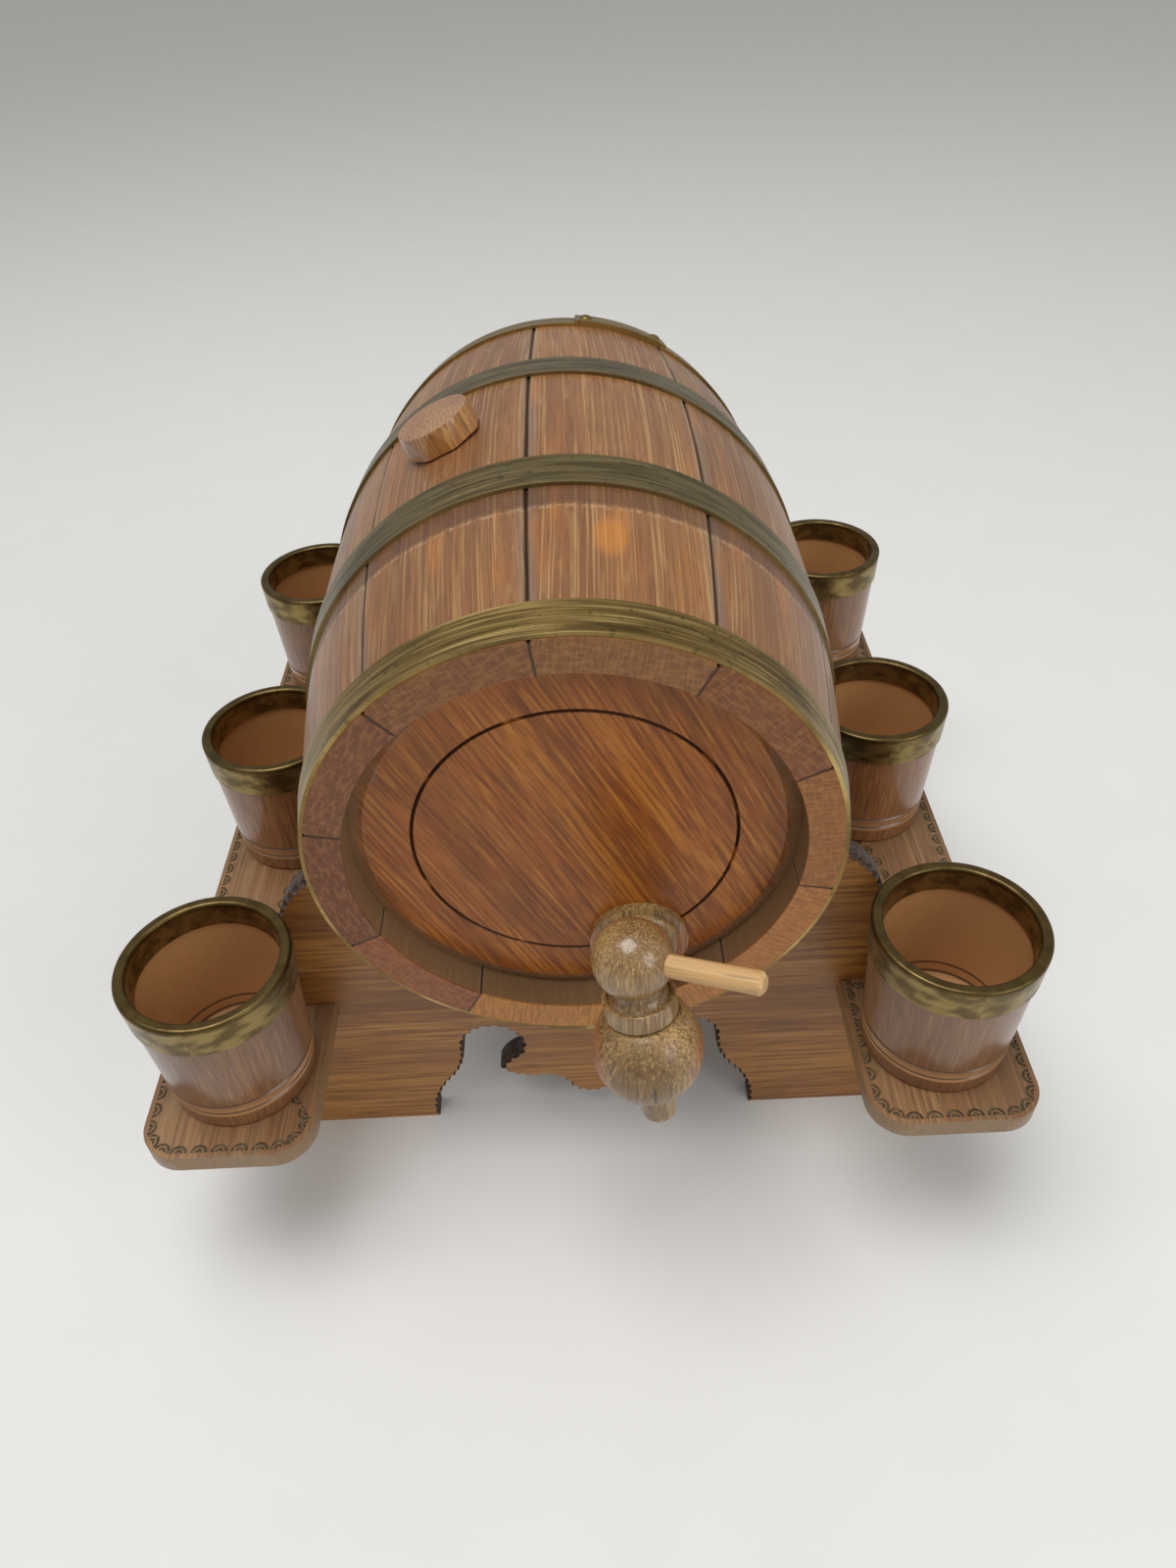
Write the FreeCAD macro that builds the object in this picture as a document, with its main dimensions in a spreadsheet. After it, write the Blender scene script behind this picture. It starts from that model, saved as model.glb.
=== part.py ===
"""Small oak cask on a cut-out stand, with a turned wooden tap, a bung and six brass-rimmed beakers.

Frame: +Z up, the tap faces -Y, X = 0 is the middle of the stand, and the origin is on the
ground under the middle of the whole object. Lengths are millimetres, angles are degrees.
"""

import FreeCAD, Part
import math
import os

from FreeCAD import Placement, Rotation, Vector

DRIVING_SIZES = {
    # Cask
    "cask_length": 190.0,
    "end_radius": 66.0,
    "bilge_radius": 74.5,
    "stave_wall": 9.0,
    "stave_bevel": 0.8,
    "cask_roll": 24.0,
    "axis_height": 136.0,
    # Heads and the groove that holds them
    "head_recess": 8.0,
    "head_thickness": 8.0,
    "head_flat_radius": 53.0,
    "head_edge": 3.0,
    "groove_depth": 2.5,
    "ring_radius": 40.9,
    "ring_width": 1.0,
    "ring_depth": 0.7,
    # Hoops and their rivets
    "hoop_sheet": 1.0,
    "head_hoop_width": 10.4,
    "head_hoop_inset": 0.3,
    "bilge_hoop_place": 33.8,
    "bilge_hoop_width": 13.4,
    "lap_angle": 26.0,
    "rivet_angle": 20.0,
    "rivet_radius": 2.2,
    "rivet_shank_radius": 1.2,
    "rivet_rise": 1.0,
    # Bung
    "bung_head_radius": 11.0,
    "bung_head_height": 6.5,
    "bung_head_taper": 0.6,
    "bung_lift_gap": 0.4,
    "bung_plug_top": 8.5,
    "bung_plug_tip": 7.6,
    "bung_plug_length": 13.0,
    "bung_fit": 0.05,
    # Tap
    "tap_drop": 40.7,
    "tap_place_angle": 22.4,
    "tap_roll": 6.8,
    "key_lean": 12.0,
    "tap_reach": 35.0,
    "stem_radius": 8.0,
    "stem_tip_radius": 6.6,
    "stem_inside": 16.0,
    "flange_radius": 13.4,
    "flange_thickness": 2.4,
    "flange_bead_radius": 11.2,
    "flange_bead": 1.8,
    "neck_radius": 8.4,
    "bulb_radius": 13.8,
    "bulb_nose": 15.2,
    "boss_radius": 9.8,
    "boss_depth": 4.0,
    "channel_radius": 2.8,
    "key_seat": 10.5,
    "key_top_radius": 6.8,
    "key_low_radius": 5.7,
    "key_fit": 0.05,
    "collar_radius": 9.2,
    "collar_height": 5.5,
    "collar_gap": 0.3,
    "collar_edge": 0.5,
    "rim_width": 0.8,
    "rim_step": 0.5,
    "cove_radius": 4.0,
    "waist_radius": 6.2,
    "knob_radius": 9.95,
    "knob_place": 26.9,
    "knob_crown_radius": 3.0,
    "spout_reach": 23.8,
    "spout_tip_radius": 4.7,
    "spout_round": 1.6,
    "spout_bore_radius": 2.5,
    "handle_turn": 26.6,
    "handle_radius": 2.85,
    "handle_reach": 33.1,
    "handle_bevel": 0.9,
    # Stand boards
    "board_out": 77.6,
    "board_thickness": 7.0,
    "cradle_gap": 0.3,
    "foot_inside": 52.2,
    "foot_outside": 102.0,
    "foot_flare_radius": 62.0,
    "shoulder_outside": 110.0,
    "horn_outside": 86.0,
    "horn_bend_height": 92.0,
    "horn_bend_radius": 29.0,
    "horn_height": 118.5,
    "horn_tip_width": 1.4,
    "scroll_x": 30.7,
    "scroll_height": 38.0,
    "scroll_radius": 9.4,
    "scroll_lip_x": 22.9,
    "cusp_x": 29.4,
    "cusp_height": 25.0,
    "cusp_curl_radius": 14.0,
    "leg_bend_x": 45.3,
    "leg_bend_height": 21.5,
    "leg_upper_radius": 26.4,
    "leg_lower_radius": 29.0,
    "foot_straight": 3.0,
    "apron_x": 18.4,
    "apron_height": 20.3,
    "apron_curve_radius": 13.0,
    "apron_cove_radius": 10.4,
    "pendant_x": 6.6,
    "pendant_height": 13.4,
    "pendant_radius": 7.6,
    "pendant_tip_height": 10.0,
    # Trays and nails
    "tray_top": 63.0,
    "tray_thickness": 6.2,
    "tray_half_length": 126.7,
    "tray_inside": 76.0,
    "tray_outside": 123.0,
    "tray_corner": 11.0,
    "lobe_x": 93.5,
    "waist_x": 67.3,
    "waist_y": 37.0,
    "tray_waist_radius": 30.0,
    "nail_radius": 0.9,
    "nail_length": 16.0,
    "nail_inner_edge": 5.5,
    "nail_outer_edge": 9.5,
    # Beakers
    "cup_x": 98.5,
    "cup_pitch": 98.0,
    "cup_height": 47.0,
    "cup_base_radius": 20.0,
    "cup_rim_radius": 23.0,
    "cup_base_bevel": 0.8,
    "cup_floor": 6.0,
    "cup_well_radius": 17.2,
    "cup_mouth_radius": 20.4,
    "cup_line_low": 7.0,
    "cup_line_high": 10.4,
    "cup_line_size": 0.5,
    "band_sheet": 0.6,
    "band_depth": 10.4,
    "lining_depth": 7.6,
    "lip_height": 1.4,
}

doc = FreeCAD.newDocument("cask_dispenser")
sheet = doc.addObject("Spreadsheet::Sheet", "sizes")
for row, (alias, number) in enumerate(DRIVING_SIZES.items(), start=1):
    sheet.set(f"A{row}", alias.replace("_", " "))
    sheet.set(f"B{row}", str(number))
    sheet.setAlias(f"B{row}", alias)
doc.recompute()


class Size:
    """A length, angle or ratio: its number now, and the formula that the document keeps for it."""

    def __init__(self, value, text=None):
        self.value = float(value)
        self.text = repr(float(value)) if text is None else text

    def joined(self, other, sign, value, swapped=False):
        other = as_size(other)
        first, second = (other, self) if swapped else (self, other)
        return Size(value(first.value, second.value), f"({first.text} {sign} {second.text})")

    def __add__(self, other):
        return self.joined(other, "+", lambda a, b: a + b)

    def __radd__(self, other):
        return self.joined(other, "+", lambda a, b: a + b, swapped=True)

    def __sub__(self, other):
        return self.joined(other, "-", lambda a, b: a - b)

    def __rsub__(self, other):
        return self.joined(other, "-", lambda a, b: a - b, swapped=True)

    def __mul__(self, other):
        return self.joined(other, "*", lambda a, b: a * b)

    def __rmul__(self, other):
        return self.joined(other, "*", lambda a, b: a * b, swapped=True)

    def __truediv__(self, other):
        return self.joined(other, "/", lambda a, b: a / b)

    def __neg__(self):
        return Size(-self.value, f"(0 - {self.text})")


def as_size(value):
    return value if isinstance(value, Size) else Size(value)


def size(alias):
    return Size(DRIVING_SIZES[alias], f"sizes.{alias}")


def root(a):
    return Size(math.sqrt(a.value), f"sqrt({a.text})")


def sine(a):
    return Size(math.sin(math.radians(a.value)), f"sin({a.text})")


def cosine(a):
    return Size(math.cos(math.radians(a.value)), f"cos({a.text})")


def arc_radius(half_chord, rise):
    """Radius of the arc that rises by rise over twice half_chord."""
    return (half_chord * half_chord + rise * rise) / (2 * rise)


# The middle of the object along Y, which the origin stands under

half_length = size("cask_length") / 2
head_face = half_length - size("head_recess")
front_reach = head_face + size("tap_reach") + size("bulb_nose")
stand_y = (front_reach - size("tray_half_length")) / 2

bilge_rise = size("bilge_radius") - size("end_radius")
stave_curve = arc_radius(half_length, bilge_rise)


def stave_radius(along):
    """Radius of the staves' outside at a distance along the cask from its middle."""
    return size("bilge_radius") - stave_curve + root(stave_curve * stave_curve - along * along)


# Tools for bodies, outlines and features


def new_body(name):
    body = doc.addObject("PartDesign::Body", name)
    body.Label = name
    return body


def plane(body, role):
    return next(f for f in body.Origin.OriginFeatures if f.Role == role)


def moved(x=0.0, y=0.0, z=0.0, axis=(0, 1, 0), angle=0.0):
    """A move to x, y, z with a turn about an axis: its placement, and the formula for it."""
    x, y, z, angle = (as_size(v) for v in (x, y, z, angle))
    where = Vector(x.value, y.value, z.value)
    text = (
        f"create(<<placement>>; create(<<vector>>; {x.text}; {y.text}; {z.text}); "
        f"create(<<rotation>>; create(<<vector>>; {axis[0]}; {axis[1]}; {axis[2]}); {angle.text}))"
    )
    return Placement(where, Rotation(Vector(*axis), angle.value)), text


def place(thing, *moves):
    """Place a body or a link by one move after another; every length and angle stays a formula."""
    total = Placement()
    for placement, text in moves:
        total = total.multiply(placement)
    thing.Placement = total
    thing.setExpression("Placement", " * ".join(text for placement, text in moves))


def line_to(x, y):
    return ("line", as_size(x), as_size(y), None, 0)


def arc_to(x, y, radius, centre_on):
    """An arc of under half a turn; its centre is on the left or the right of the way."""
    return ("arc", as_size(x), as_size(y), as_size(radius), 1 if centre_on == "left" else -1)


def arc_curve(start, end, radius, side):
    """The arc between two points, whose centre lies on side 1, the left, or -1, the right."""
    chord = end - start
    half = chord.Length / 2
    off = math.sqrt(max(radius * radius - half * half, 0.0))
    across = Vector(-chord.y, chord.x, 0).normalize() * side
    centre = (start + end) * 0.5 + across * off
    begin, finish = (start, end) if side > 0 else (end, start)
    first = math.atan2(begin.y - centre.y, begin.x - centre.x)
    last = math.atan2(finish.y - centre.y, finish.x - centre.x)
    if last <= first:
        last += 2 * math.pi
    return Part.ArcOfCircle(Part.Circle(centre, Vector(0, 0, 1), radius), first, last)


def add_outline(sketch, start, steps):
    """Draw a closed outline from start through steps, each corner tied to its formulas."""
    import Sketcher

    corner_x, corner_y = as_size(start[0]), as_size(start[1])
    first = len(sketch.Geometry)
    here = Vector(corner_x.value, corner_y.value, 0)
    ends = []
    curves = []
    for kind, x, y, radius, side in steps:
        there = Vector(x.value, y.value, 0)
        if kind == "line":
            curves.append(Part.LineSegment(here, there))
            ends.append((1, 2))
        else:
            curves.append(arc_curve(here, there, radius.value, side))
            ends.append((1, 2) if side > 0 else (2, 1))
        here = there
    sketch.addGeometry(curves, False)
    joints = []
    formulas = []
    for k, (kind, x, y, radius, side) in enumerate(steps):
        this, after = first + k, first + (k + 1) % len(steps)
        joints.append(Sketcher.Constraint("Coincident", this, ends[k][1], after,
                                          ends[(k + 1) % len(steps)][0]))
        for way, where in (("DistanceX", x), ("DistanceY", y)):
            joints.append(Sketcher.Constraint(way, -1, 1, this, ends[k][1], where.value))
            formulas.append((len(joints) - 1, where))
        if kind == "arc":
            joints.append(Sketcher.Constraint("Radius", this, radius.value))
            formulas.append((len(joints) - 1, radius))
    already = sketch.ConstraintCount
    sketch.addConstraint(joints)
    for index, where in formulas:
        if "sizes." in where.text:
            sketch.setExpression(f"Constraints[{already + index}]", where.text)


def add_circle(sketch, x, y, radius):
    import Sketcher

    x, y, radius = as_size(x), as_size(y), as_size(radius)
    n = sketch.addGeometry(Part.Circle(Vector(x.value, y.value, 0), Vector(0, 0, 1), radius.value))
    ties = [("DistanceX", x), ("DistanceY", y), ("Radius", radius)]
    for way, where in ties:
        if way == "Radius":
            index = sketch.addConstraint(Sketcher.Constraint("Radius", n, where.value))
        else:
            index = sketch.addConstraint(Sketcher.Constraint(way, -1, 1, n, 3, where.value))
        if "sizes." in where.text:
            sketch.setExpression(f"Constraints[{index}]", where.text)


def new_sketch(body, role, name):
    sketch = body.newObject("Sketcher::SketchObject", f"{body.Name}_{name}")
    sketch.AttachmentSupport = [(plane(body, role), "")]
    sketch.MapMode = "FlatFace"
    return sketch


def outline(body, role, name, start, steps):
    sketch = new_sketch(body, role, name)
    add_outline(sketch, start, steps)
    return sketch


def turned(body, sketch, name, axis="V_Axis", cut=False, angle=None):
    """Revolve a sketch about one of its axes, as wood or a cut; angle leaves it a sector."""
    kind = "PartDesign::Groove" if cut else "PartDesign::Revolution"
    feature = body.newObject(kind, f"{body.Name}_{name}")
    feature.Profile = (sketch, [""])
    feature.ReferenceAxis = (sketch, [axis])
    feature.Midplane = angle is not None
    feature.Angle = 360.0 if angle is None else angle.value
    if angle is not None:
        feature.setExpression("Angle", angle.text)
    return feature


def padded(body, sketch, name, length, middle=False):
    feature = body.newObject("PartDesign::Pad", f"{body.Name}_{name}")
    feature.Profile = (sketch, [""])
    feature.SideType = "Symmetric" if middle else "One side"
    feature.Length = length.value
    feature.setExpression("Length", length.text)
    return feature


def drilled(body, sketch, name):
    """Cut a sketch right through the body, both ways."""
    feature = body.newObject("PartDesign::Pocket", f"{body.Name}_{name}")
    feature.Profile = (sketch, [""])
    feature.SideType = "Symmetric"
    feature.Type = "ThroughAll"
    return feature


def cask_place(angle):
    """A place on the cask's axis, at its middle, turned by an angle that is positive to the right."""
    return moved(y=stand_y, z=size("axis_height"), angle=angle)


def one_way_cut(body, sketch, name, towards_x):
    """Cut a sketch on the YZ plane through everything on one side of it."""
    feature = body.newObject("PartDesign::Pocket", f"{body.Name}_{name}")
    feature.Profile = (sketch, [""])
    feature.SideType = "One side"
    feature.Type = "ThroughAll"
    feature.Reversed = towards_x
    return feature


# Staves: ten bent oak staves, bevelled along their outer edges, with a groove for each head

STAVE_COUNT = 10
stave_angle = Size(360.0 / STAVE_COUNT)
inner_end = size("end_radius") - size("stave_wall")
groove_radius = inner_end + size("groove_depth")
bevel_share = (inner_end - size("head_flat_radius")) / (groove_radius - size("head_flat_radius"))
head_slope = (size("head_thickness") - size("head_edge")) / 2
lip_outer = head_face - head_slope * bevel_share
seat_outer = head_face - head_slope
seat_inner = seat_outer - size("head_edge")
lip_inner = seat_inner - head_slope * (1 - bevel_share)
inner_curve = arc_radius(lip_inner, size("bilge_radius") - size("stave_wall") - inner_end)


def make_stave(name, angle, bung_hole):
    body = new_body(name)
    steps = [
        arc_to(half_length, size("end_radius"), stave_curve, "right"),
        line_to(half_length, inner_end),
        line_to(lip_outer, inner_end),
        line_to(seat_outer, groove_radius),
        line_to(seat_inner, groove_radius),
        line_to(lip_inner, inner_end),
        arc_to(-lip_inner, inner_end, inner_curve, "left"),
        line_to(-seat_inner, groove_radius),
        line_to(-seat_outer, groove_radius),
        line_to(-lip_outer, inner_end),
        line_to(-half_length, inner_end),
        line_to(-half_length, size("end_radius")),
    ]
    sketch = outline(body, "YZ_Plane", "side", (-half_length, size("end_radius")), steps)
    sector = turned(body, sketch, "bend", axis="H_Axis", angle=stave_angle)
    doc.recompute()
    long_edges = []
    for n, edge in enumerate(sector.Shape.Edges, start=1):
        middle = edge.valueAt((edge.FirstParameter + edge.LastParameter) / 2)
        if math.hypot(middle.x, middle.z) > bilge_rise.value / 2 + size("end_radius").value:
            if edge.Length > size("cask_length").value / 2:
                long_edges.append(f"Edge{n}")
    bevel = body.newObject("PartDesign::Chamfer", f"{name}_bevel")
    bevel.Base = (sector, long_edges)
    bevel.setExpression("Size", "sizes.stave_bevel")
    doc.recompute()
    if bung_hole:
        fit = size("bung_fit")
        tip = size("bilge_radius") - size("bung_plug_length")
        slope = (size("bung_plug_top") - size("bung_plug_tip")) / size("bung_plug_length")
        over = size("bilge_radius") + 2
        hole = [
            line_to(size("bung_plug_tip") + fit - slope, tip - 1),
            line_to(size("bung_plug_top") + fit + 2 * slope, over),
            line_to(0, over),
            line_to(0, tip - 1),
        ]
        cut = outline(body, "YZ_Plane", "bung_hole", (0, tip - 1), hole)
        turned(body, cut, "bung_bore", cut=True)
    place(body, cask_place(angle))
    return body


# Heads: a thick oak disc bevelled to a thin edge that sits in the staves' grooves


def make_head(name, front):
    body = new_body(name)
    outer = -head_face if front else head_face
    inner = outer + size("head_thickness") * (1 if front else -1)
    flat = size("head_flat_radius")
    edge_outer = -seat_outer if front else seat_outer
    edge_inner = -seat_inner if front else seat_inner
    ring, half_ring = size("ring_radius"), size("ring_width") / 2
    ring_bottom = outer + size("ring_depth") * (1 if front else -1)
    steps = [
        line_to(outer, ring - half_ring),
        line_to(ring_bottom, ring),
        line_to(outer, ring + half_ring),
        line_to(outer, flat),
        line_to(edge_outer, groove_radius),
        line_to(edge_inner, groove_radius),
        line_to(inner, flat),
        line_to(inner, 0),
        line_to(outer, 0),
    ]
    sketch = outline(body, "YZ_Plane", "side", (outer, 0), steps)
    turned(body, sketch, "disc", axis="H_Axis")
    if front:
        hole = new_sketch(body, "XZ_Plane", "tap_hole")
        aside = size("cask_roll") - size("tap_place_angle")
        across, down = -size("tap_drop") * sine(aside), -size("tap_drop") * cosine(aside)
        add_circle(hole, across, down, size("stem_radius"))
        drilled(body, hole, "tap_bore")
    place(body, cask_place(-size("cask_roll")))
    return body


# Hoops: brass bands bent to the staves, each lapped and closed with two rivets

HOOP_LAPS = {
    "front_head_hoop": (-1, "head", 176.0),
    "front_bilge_hoop": (-1, "bilge", 168.0),
    "rear_bilge_hoop": (1, "bilge", 190.0),
    "rear_head_hoop": (1, "head", 18.5),
}


def hoop_span(side, kind):
    """The two edges of a hoop along the cask, from its middle, the lower first."""
    if kind == "head":
        far = half_length - size("head_hoop_inset")
        near = far - size("head_hoop_width")
    else:
        near = size("bilge_hoop_place") - size("bilge_hoop_width") / 2
        far = near + size("bilge_hoop_width")
    return (-far, -near) if side < 0 else (near, far)


def band_outline(body, name, low, high, lift):
    base_low, base_high = stave_radius(low) + lift, stave_radius(high) + lift
    sheet_gauge = size("hoop_sheet")
    steps = [
        line_to(low, base_low + sheet_gauge),
        arc_to(high, base_high + sheet_gauge, stave_curve, "right"),
        line_to(high, base_high),
        arc_to(low, base_low, stave_curve, "left"),
    ]
    return outline(body, "YZ_Plane", name, (low, base_low), steps)


def rivet_spots(side, kind):
    """The seats of a hoop's two rivets, on its lap's outside, as moves from the cask's middle."""
    low, high = hoop_span(side, kind)
    middle = (low + high) / 2
    lean = Size(math.degrees(math.asin(middle.value / stave_curve.value)))
    seat = stave_radius(middle) + size("hoop_sheet")
    return [
        (moved(angle=size("rivet_angle") * share), moved(y=middle, z=seat, axis=(1, 0, 0), angle=-lean))
        for share in (-0.5, 0.5)
    ]


def make_hoop(name, side, kind, lap_at):
    body = new_body(name)
    low, high = hoop_span(side, kind)
    turned(body, band_outline(body, "ring_side", low, high, Size(0)), "ring", axis="H_Axis")
    lap = band_outline(body, "lap_side", low, high, size("hoop_sheet"))
    turned(body, lap, "lap", axis="H_Axis", angle=size("lap_angle"))
    for n, (turn, seat) in enumerate(rivet_spots(side, kind), start=1):
        hole = body.newObject("PartDesign::SubtractiveCylinder", f"{name}_rivet_hole_{n}")
        hole.AttachmentSupport = [(plane(body, "XY_Plane"), "")]
        hole.MapMode = "FlatFace"
        hole.setExpression("Radius", size("rivet_shank_radius").text)
        hole.setExpression("Height", (size("hoop_sheet") * 4).text)
        below = moved(z=-2 * size("hoop_sheet"))
        hole.setExpression("AttachmentOffset", " * ".join((turn[1], seat[1], below[1])))
    place(body, cask_place(Size(lap_at)))
    return body


def make_rivets(name):
    """Two domed rivets through each lap, modelled as one body of eight separate solids."""
    pattern = new_body("rivet_pattern")
    radius, shank = size("rivet_radius"), size("rivet_shank_radius")
    seat, rise = size("hoop_sheet"), size("hoop_sheet") + size("rivet_rise")
    tip = -size("hoop_sheet") * 0.9
    steps = [
        line_to(shank, tip),
        line_to(shank, seat),
        line_to(radius, seat),
        arc_to(0, rise, arc_radius(radius, size("rivet_rise")), "left"),
        line_to(0, tip),
    ]
    turned(pattern, outline(pattern, "XZ_Plane", "side", (0, tip), steps), "dome")
    links = []
    for hoop, (side, kind, lap_at) in HOOP_LAPS.items():
        for n, (turn, seat_move) in enumerate(rivet_spots(side, kind), start=1):
            link = doc.addObject("App::Link", f"{hoop}_rivet_{n}")
            link.LinkedObject = pattern
            place(link, cask_place(Size(lap_at)), turn, seat_move)
            links.append(link)
    group = doc.addObject("Part::Compound", name)
    group.Label = name
    group.Links = links
    return group


# Bung: a tapered plug under an eight-sided head, driven into the stave on top


def make_bung(name):
    body = new_body(name)
    top = size("bilge_radius")
    under = top + size("bung_lift_gap")
    crown = under + size("bung_head_height")
    tip = top - size("bung_plug_length")
    steps = [
        line_to(size("bung_plug_tip"), tip),
        line_to(size("bung_plug_top"), top),
        line_to(size("bung_plug_top"), under),
        line_to(size("bung_head_radius"), under),
        line_to(size("bung_head_radius") - size("bung_head_taper"), crown),
        line_to(0, crown),
        line_to(0, tip),
    ]
    turned(body, outline(body, "XZ_Plane", "side", (0, tip), steps), "plug")
    flats = new_sketch(body, "XY_Plane", "flats")
    add_circle(flats, 0, 0, size("bung_head_radius") + 5)
    reach = size("bung_head_radius") * cosine(Size(22.5)) + 0.3
    corner = reach / cosine(Size(22.5))
    points = []
    for k in range(8):
        bearing = Size(22.5 + 45 * k)
        points.append((corner * cosine(bearing), corner * sine(bearing)))
    add_outline(flats, points[0], [line_to(*p) for p in points[1:] + points[:1]])
    drilled(body, flats, "head_flats")
    place(body, cask_place(-size("cask_roll")))
    return body


# Tap: a turned spigot driven into the head, and the key that turns in its bulb

tap_x = size("tap_drop") * sine(size("tap_place_angle"))
tap_y = stand_y - head_face - size("tap_reach")
tap_z = size("axis_height") - size("tap_drop") * cosine(size("tap_place_angle"))


tap_place = moved(tap_x, tap_y, tap_z, angle=-size("tap_roll"))
key_way = moved(axis=(1, 0, 0), angle=-size("key_lean"))
handle_way = moved(axis=(0, 0, 1), angle=-size("handle_turn"))


def key_radius(height):
    """Radius of the key's tapered plug at a height above the spigot's axis."""
    span = size("key_seat") + size("bulb_radius")
    share = (height + size("bulb_radius")) / span
    return size("key_low_radius") + (size("key_top_radius") - size("key_low_radius")) * share


def lean_back(sketch):
    """Turn a sketch on the YZ plane, so that its upright axis leans towards the cask as the key does."""
    lean, text = moved(axis=(0, 0, 1), angle=-size("key_lean"))
    sketch.AttachmentOffset = lean
    sketch.setExpression("AttachmentOffset", text)


def make_spigot(name):
    body = new_body(name)
    face = size("tap_reach")
    inside = face + size("head_thickness")
    neck, bulb, nose = size("neck_radius"), size("bulb_radius"), size("bulb_nose")
    shoulder = root(bulb * bulb - neck * neck)
    bore = size("channel_radius")
    plate = face - size("flange_thickness")
    bead = plate - size("flange_bead")
    nose_curve = arc_radius(bulb, nose)
    steps = [
        line_to(inside + size("stem_inside"), bore),
        line_to(inside + size("stem_inside"), size("stem_tip_radius")),
        line_to(inside, size("stem_radius")),
        line_to(face, size("stem_radius")),
        line_to(face, size("flange_radius")),
        line_to(plate, size("flange_radius")),
        line_to(plate, size("flange_bead_radius")),
        arc_to(bead, size("flange_bead_radius") - size("flange_bead") / 2, size("flange_bead"), "left"),
        line_to(bead, neck + 0.6),
        arc_to(shoulder, neck, size("tap_reach"), "right"),
        arc_to(0, bulb, bulb, "left"),
        arc_to(-nose, 0, nose_curve, "left"),
        line_to(0, 0),
    ]
    sketch = outline(body, "YZ_Plane", "side", (0, bore), steps + [line_to(0, bore)])
    turned(body, sketch, "turning", axis="H_Axis")
    fit = size("key_fit")
    seat = size("key_seat")
    boss, under = size("boss_radius"), seat - size("boss_depth")
    steps = [line_to(boss, under), line_to(boss, seat), line_to(0, seat), line_to(0, under)]
    boss = outline(body, "YZ_Plane", "boss_side", (0, under), steps)
    lean_back(boss)
    turned(body, boss, "boss")
    low, high = -bulb - 2, bulb + 2
    steps = [
        line_to(key_radius(low) + fit, low),
        line_to(key_radius(seat) + fit, seat),
        line_to(size("boss_radius"), seat),
        line_to(size("boss_radius"), high),
        line_to(0, high),
        line_to(0, low),
    ]
    hole = outline(body, "YZ_Plane", "key_hole", (0, low), steps)
    lean_back(hole)
    turned(body, hole, "key_bore", cut=True)
    place(body, tap_place)
    return body


def make_key(name):
    body = new_body(name)
    seat = size("key_seat") + size("collar_gap")
    collar, edge = size("collar_radius"), size("collar_edge")
    rim, step = collar - edge - size("rim_width"), size("rim_step")
    top = seat + size("collar_height")
    waist = size("waist_radius")
    knob, knob_at, crown = size("knob_radius"), size("knob_place"), size("knob_crown_radius")
    knob_low = knob_at - root(knob * knob - waist * waist)
    knob_high = knob_at + root(knob * knob - crown * crown)
    bulb, tip = size("bulb_radius"), -size("spout_reach")
    spout, bore, end_round = size("spout_tip_radius"), size("spout_bore_radius"), size("spout_round")
    steps = [
        line_to(bore, tip),
        line_to(spout - end_round, tip),
        arc_to(spout, tip + end_round, end_round, "left"),
        line_to(key_radius(-bulb), -bulb),
        line_to(key_radius(size("key_seat")), size("key_seat")),
        line_to(key_radius(size("key_seat")), seat),
        line_to(collar - edge, seat),
        arc_to(collar, seat + edge, edge, "left"),
        line_to(collar, top - edge),
        arc_to(collar - edge, top, edge, "left"),
        line_to(rim, top),
        line_to(rim, top - step),
        arc_to(waist, knob_low, size("cove_radius"), "right"),
        arc_to(knob, knob_at, knob, "left"),
        arc_to(crown, knob_high, knob, "left"),
        line_to(0, knob_high),
        line_to(0, size("channel_radius")),
        line_to(bore, size("channel_radius")),
    ]
    sketch = outline(body, "XZ_Plane", "side", (bore, size("channel_radius")), steps)
    turned(body, sketch, "turning")
    port = new_sketch(body, "YZ_Plane", "port")
    add_circle(port, 0, 0, size("channel_radius"))
    one_way_cut(body, port, "port_bore", towards_x=False)
    socket = new_sketch(body, "YZ_Plane", "handle_socket")
    add_circle(socket, 0, knob_at, size("handle_radius"))
    one_way_cut(body, socket, "handle_bore", towards_x=True)
    place(body, tap_place, key_way, handle_way)
    return body


def make_handle(name):
    body = new_body(name)
    end = new_sketch(body, "YZ_Plane", "end")
    add_circle(end, 0, size("knob_place"), size("handle_radius"))
    dowel = padded(body, end, "dowel", size("handle_reach"))
    doc.recompute()
    tip_edges = [
        f"Edge{n}"
        for n, edge in enumerate(dowel.Shape.Edges, start=1)
        if edge.BoundBox.XMin > size("handle_reach").value - 0.01
    ]
    bevel = body.newObject("PartDesign::Chamfer", f"{name}_bevel")
    bevel.Base = (dowel, tip_edges)
    bevel.setExpression("Size", "sizes.handle_bevel")
    place(body, tap_place, key_way, handle_way)
    return body


# Stand boards: cut with a cradle, horns, a scrolled opening and two feet

cradle_radius = stave_radius(size("board_out") - size("board_thickness")) + size("cradle_gap")
shoulder_height = size("tray_top") - size("tray_thickness")
board_middle = size("board_out") - size("board_thickness") / 2


def nail_places():
    """How far from the middle the two nails stand in each of a board's shoulders."""
    return [size("horn_outside") + size("nail_inner_edge"), size("shoulder_outside") - size("nail_outer_edge")]


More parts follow.
